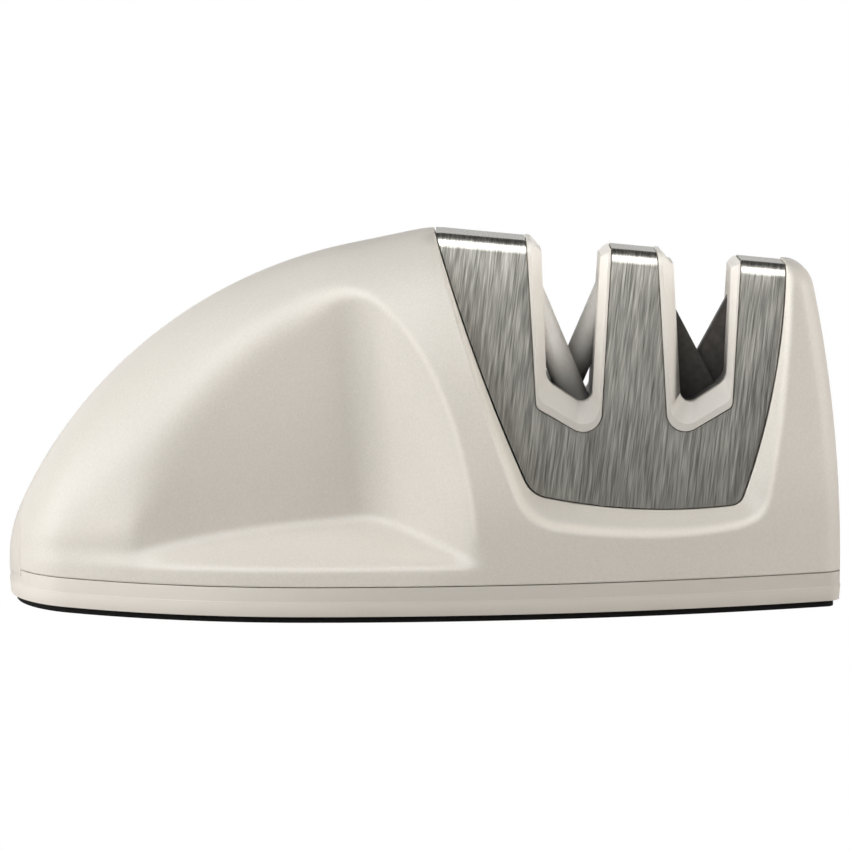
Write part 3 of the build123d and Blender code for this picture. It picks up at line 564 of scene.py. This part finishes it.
def brushed(name, dark, light, rough, turn, shading=None):
    """Brushed metal: fine streaks along the brushing, and a shine that spreads across it."""
    material, tree, shader = nodes_of(name)
    where = coords(tree)
    turned = mapped(tree, where, Rotation=turn)
    stretched = [mapped(tree, turned, Scale=scale) for scale in STREAK_SCALES]
    fine, streak, broad = [noise(tree, vector, scale=1, detail=1) for vector in stretched]
    fine_share, streak_share, broad_share = STREAK_SHARES
    mixed = math_node(tree, "MULTIPLY", broad, broad_share)
    mixed = math_node(tree, "MULTIPLY_ADD", streak, streak_share, mixed)
    mixed = math_node(tree, "MULTIPLY_ADD", fine, fine_share, mixed)
    shade = shading(tree, where) if shading else None
    tint(tree, ramp(tree, mixed, 0, 1, *STREAK_RANGE), dark, light, shader, shade)
    tree.links.new(ramp(tree, streak, *rough), shader.inputs["Roughness"])
    bump(tree, mixed, STREAK_BUMP, STREAK_DEPTH, shader)
    shader.inputs["Metallic"].default_value = 1.0
    shader.inputs["Anisotropic"].default_value = BRUSHED_SPREAD
    across = put(tree, "ShaderNodeCombineXYZ", X=1.0, Y=0.0, Z=0.0)
    tree.links.new(across.outputs[0], shader.inputs["Tangent"])
    return material


def dull(name, dark, light, rough, metal=0.0, scale=900, strength=0.3, shading=None, shine=0.5):
    material, tree, shader = nodes_of(name)
    where = coords(tree)
    fine = noise(tree, where, scale, detail=4)
    shade = shading(tree, where) if shading else None
    tint(tree, ramp(tree, fine, 0, 1), dark, light, shader, shade)
    tree.links.new(ramp(tree, fine, *rough), shader.inputs["Roughness"])
    bump(tree, fine, strength, DULL_DEPTH, shader)
    shader.inputs["Metallic"].default_value = metal
    shader.inputs["Specular IOR Level"].default_value = shine
    return material


def wear(thing, material):
    thing.data.materials.clear()
    thing.data.materials.append(material)


# Painted shade and light by place: the axis, two places along it in millimetres, and the factor at each.
# SLOT_DIM and CREST_HIGHLIGHT are shares, and HOLLOW_SKIN is a range of depths in millimetres.
SLOT_DEEP, SLOT_INSIDE = ("Z", 36, 52, 1.0, 0.0), ("Y", 4.5, 7.0, 1.0, 0.0)
SLOT_RISE, SLOT_DIM = ("Z", 26, 62, 0.72, 1.15), -0.72
# The hollow's bands paint shade on its floor.
HOLLOW_TAIL_END, HOLLOW_HEAD_END = ("X", -56, -40, 0.0, 1.0), ("X", -18, -8, 1.0, 0.0)
HOLLOW_RISE, HOLLOW_SKIN = ("Z", 14, 42, -0.10, 0.02), (0.5, 1.6)
# RIGHT_HALF and RIGHT_FOOT paint shade low on the right half of the grip.
RIGHT_HALF, RIGHT_FOOT = ("X", -4, 12, 0.0, 1.0), ("Z", 12, 28, -0.10, 0.01)
BASE_RUN, BASE_LOW_BAND = ("X", -45, 5, 1.05, 0.86), ("Z", 3.3, 4.1, 0.10, 0.0)
STEEL_FACE, STEEL_BEND = ("Z", 17, 54, 0.64, 0.88), ("Z", 53, 61, 0.0, 0.30)
FRONT_ROD, REAR_ROD = ("Z", 36, 47, 0.22, 1.36), ("Z", 36, 52, 0.21, 1.04)
PLATES = ("Z", 34, 48, 0.4, 1.5)
CREST_HIGHLIGHT = 0.18


def graded(band):
    """A painted shade and light that follows one band."""
    return lambda tree, where: fall(tree, where, *band)


def slot_shade(tree, where):
    """Painted shade inside the slots and towards their bottom, fading to painted light towards their top.
    """
    deep = fall(tree, where, *SLOT_DEEP)
    inside = math_node(tree, "MULTIPLY", fall(tree, where, *SLOT_INSIDE), deep)
    return math_node(tree, "MULTIPLY_ADD", inside, SLOT_DIM, fall(tree, where, *SLOT_RISE))


def hollow_shade(tree, where):
    """The floor of the finger hollow, darker towards the sill, where the hollow shades itself."""
    lean, rake = math.tan(HOLLOW_LEFT), math.tan(VALLEY_RAKE)
    shares = {"X": lean, "Y": 1.0, "Z": rake + lean * math.tan(VALLEY_LEAN)}
    depth = 0.0
    for axis, share in shares.items():
        depth = math_node(tree, "MULTIPLY_ADD", place_on(tree, where, axis), share, depth)
    level = VALLEY_HALF + VALLEY_X * lean + SEAM_Z * rake
    near, far = [(level + skin) * MM for skin in HOLLOW_SKIN]
    floor_share = ramp(tree, depth, 1, 0, near, far)
    tail_end, head_end = fall(tree, where, *HOLLOW_TAIL_END), fall(tree, where, *HOLLOW_HEAD_END)
    inner = math_node(tree, "MULTIPLY", tail_end, head_end)
    inner = math_node(tree, "MULTIPLY", floor_share, inner)
    return math_node(tree, "MULTIPLY", inner, fall(tree, where, *HOLLOW_RISE))


def cream_shade(tree, where):
    """Painted highlight on the ridges, painted shade at the foot of the right half and in the hollow."""
    crest = tree.nodes.new("ShaderNodeAttribute")
    crest.attribute_name = "crest"
    crest_highlight = math_node(tree, "MULTIPLY_ADD", crest.outputs["Fac"], CREST_HIGHLIGHT, 1.0)
    hollow = math_node(tree, "ADD", hollow_shade(tree, where), crest_highlight)
    right, foot = fall(tree, where, *RIGHT_HALF), fall(tree, where, *RIGHT_FOOT)
    return math_node(tree, "MULTIPLY_ADD", right, foot, hollow)


def base_shade(tree, where):
    """Painted shade towards the right, and a little painted light on the lower band."""
    return math_node(tree, "ADD", fall(tree, where, *BASE_RUN), fall(tree, where, *BASE_LOW_BAND))


def steel_shade(tree, where):
    """Painted shade towards the lower edge and a painted highlight near the bend."""
    return math_node(tree, "ADD", fall(tree, where, *STEEL_FACE), fall(tree, where, *STEEL_BEND))


CREAM = plastic("cream_plastic", (0.700, 0.664, 0.603), (0.780, 0.741, 0.677), shading=cream_shade)
SANDS = (0.670, 0.632, 0.575), (0.695, 0.658, 0.602)
BASE = plastic("base_plastic", *SANDS, grain=3200, shading=base_shade)
GUIDE = plastic("guide_plastic", (0.830, 0.795, 0.735), (0.860, 0.825, 0.765), shading=slot_shade)
BRUSHING = (0, math.radians(-7), 0)
GREYS = (0.40, 0.393, 0.358), (0.77, 0.76, 0.70), (0.34, 0.46)
STEEL = brushed("brushed_steel", *GREYS, BRUSHING, steel_shade)
WHITES = (0.70, 0.685, 0.655), (0.76, 0.745, 0.715), (0.45, 0.60), 0.0, 1500, 0.15
# The ceramic rods carry painted shade below and painted light above; the rear rod's copy is shaded deeper,
# as it lies behind the front rod.
CERAMIC = dull("white_ceramic", *WHITES, graded(FRONT_ROD))
SHADED_REAR_CERAMIC = dull("rear_ceramic_shaded", *WHITES, graded(REAR_ROD))
DARKS = (0.040, 0.036, 0.033), (0.066, 0.060, 0.055), (0.40, 0.55), 0.3, 900, 0.3
# The carbide plates carry painted shade below and painted light above.
CARBIDE = dull("dark_carbide", *DARKS, graded(PLATES))
RUBBER = dull("black_rubber", (0.004, 0.0038, 0.0036), (0.009, 0.0085, 0.008), (0.6, 0.8), shine=0.15)
SCREW = brushed("screw_steel", (0.45, 0.45, 0.45), (0.62, 0.62, 0.62), (0.3, 0.4), (0, 0, 0))

wear(grip, CREAM)
FINISH = {
    "base_tray": BASE, "rubber_foot": RUBBER, "steel_cover": STEEL, "body_shell": CREAM,
    "cartridge_front": GUIDE, "cartridge_rear": GUIDE,
    "fine_rod_front": CERAMIC, "fine_rod_rear": SHADED_REAR_CERAMIC,
    "coarse_blade_front": CARBIDE, "coarse_blade_rear": CARBIDE,
    "cartridge_screws": SCREW, "head_screws": SCREW, "base_screws": SCREW,
}
for node, material in FINISH.items():
    wear(frame["nodes"][node], material)

# How the edges of CAD pieces are eased, with lengths in millimetres.
EASE_WELD, EASE_SEGMENTS, EASE_ANGLE = 0.005, 3, math.radians(28)
CARTRIDGE_EASE, TRAY_EASE = 0.35, 0.3


def ease_edges(node, width):
    """Rounds the sharp edges of a CAD piece by modifiers."""
    thing = frame["nodes"][node]
    weld = thing.modifiers.new("weld", "WELD")
    weld.merge_threshold = EASE_WELD * MM
    bevel = thing.modifiers.new("bevel", "BEVEL")
    bevel.width, bevel.segments, bevel.limit_method = width * MM, EASE_SEGMENTS, "ANGLE"
    bevel.angle_limit = EASE_ANGLE
    bevel.use_clamp_overlap = True
    bevel.harden_normals = True


ease_edges("cartridge_front", CARTRIDGE_EASE)
ease_edges("cartridge_rear", CARTRIDGE_EASE)
ease_edges("base_tray", TRAY_EASE)


# Floor and world are white to the camera only: the part sees a pale floor, a dim room and a pale low back.
FLOOR_HALF, FLOOR_PALE, WHITE = 3000, (0.60, 0.585, 0.56, 1), (1, 1, 1, 1)
WORLD_DIM, WORLD_BACK, WORLD_BEHIND, WORLD_LOW = 0.04, 0.9, (0.5, 0.8), (0.2, 0.45)


def floor_material():
    material = bpy.data.materials.new("floor")
    material.use_nodes = True
    tree = material.node_tree
    tree.nodes.clear()
    out = tree.nodes.new("ShaderNodeOutputMaterial")
    mix = tree.nodes.new("ShaderNodeMixShader")
    path = tree.nodes.new("ShaderNodeLightPath")
    pale = put(tree, "ShaderNodeBsdfDiffuse", Color=FLOOR_PALE)
    white = put(tree, "ShaderNodeEmission", Color=WHITE, Strength=1.0)
    tree.links.new(path.outputs["Is Camera Ray"], mix.inputs[0])
    tree.links.new(pale.outputs[0], mix.inputs[1])
    tree.links.new(white.outputs[0], mix.inputs[2])
    tree.links.new(mix.outputs[0], out.inputs["Surface"])
    return material


def floor():
    half = FLOOR_HALF
    vertices = [(-half, -half, 0), (half, -half, 0), (half, half, 0), (-half, half, 0)]
    made = new_mesh("floor", vertices, [(0, 1, 2, 3)], body=None)
    made.data.materials.append(floor_material())


def world():
    made = bpy.data.worlds.new("studio")
    bpy.context.scene.world = made
    made.use_nodes = True
    tree = made.node_tree
    back = tree.nodes["Background"]
    path = tree.nodes.new("ShaderNodeLightPath")
    where = tree.nodes.new("ShaderNodeTexCoord").outputs["Generated"]
    split = tree.nodes.new("ShaderNodeSeparateXYZ")
    tree.links.new(where, split.inputs[0])
    behind = ramp(tree, split.outputs["Y"], 0, 1, *WORLD_BEHIND)
    low = ramp(tree, split.outputs["Z"], WORLD_BACK - WORLD_DIM, 0, *WORLD_LOW)
    glow = math_node(tree, "MULTIPLY_ADD", behind, low, WORLD_DIM)
    mix = tree.nodes.new("ShaderNodeMix")
    mix.data_type = "RGBA"
    mix.inputs[MIX_TO].default_value = WHITE
    tree.links.new(path.outputs["Is Camera Ray"], mix.inputs[0])
    tree.links.new(glow, mix.inputs[MIX_FROM])
    tree.links.new(mix.outputs[MIX_OUT], back.inputs["Color"])


# Where the lamps aim, where the camera stands and aims, in metres, and its lens in millimetres.
LAMP_AIM = (0, 0, 0.03)
EYE, EYE_AIM = (0.000465, -0.6129, 0.1240), (0.000465, 0, 0.0302)
LENS, SENSOR = 149.7, 36


def area(name, place, size, power, colour=(1, 1, 1), seen_by_matt=True):
    light = bpy.data.lights.new(name, "AREA")
    light.shape, light.size, light.size_y, light.energy = "RECTANGLE", size[0], size[1], power
    light.color = colour
    made = bpy.data.objects.new(name, light)
    made.location = place
    made.visible_diffuse = seen_by_matt
    made.rotation_euler = (Vector(LAMP_AIM) - Vector(place)).to_track_quat("-Z", "Y").to_euler()
    bpy.context.collection.objects.link(made)


floor()
world()
area("key_light", (-0.6, -0.6, 0.78), (0.8, 0.8), 7.6)
area("low_light", (-1.04, -0.22, 0.3), (0.6, 0.6), 6.4)
area("right_light", (0.9, -0.35, 0.3), (0.4, 0.4), 4.4, (1.03, 1.0, 0.97))
area("edge_light", (1.0, 0.12, 0.3), (0.4, 0.4), 2.0)
area("front_light", (0.05, -0.80, 0.95), (1.0, 0.95), 11.0, seen_by_matt=False)
area("ridge_light", (-0.55, -1.0, 0.45), (0.5, 0.5), 2.5, seen_by_matt=False)

camera = bpy.data.cameras.new("camera")
camera.lens, camera.sensor_width = LENS, SENSOR
eye = bpy.data.objects.new("camera", camera)
bpy.context.collection.objects.link(eye)
eye.location = EYE
eye.rotation_euler = (Vector(EYE_AIM) - eye.location).to_track_quat("-Z", "Y").to_euler()
scene = bpy.context.scene
scene.camera = eye
scene.view_settings.view_transform = "Standard"
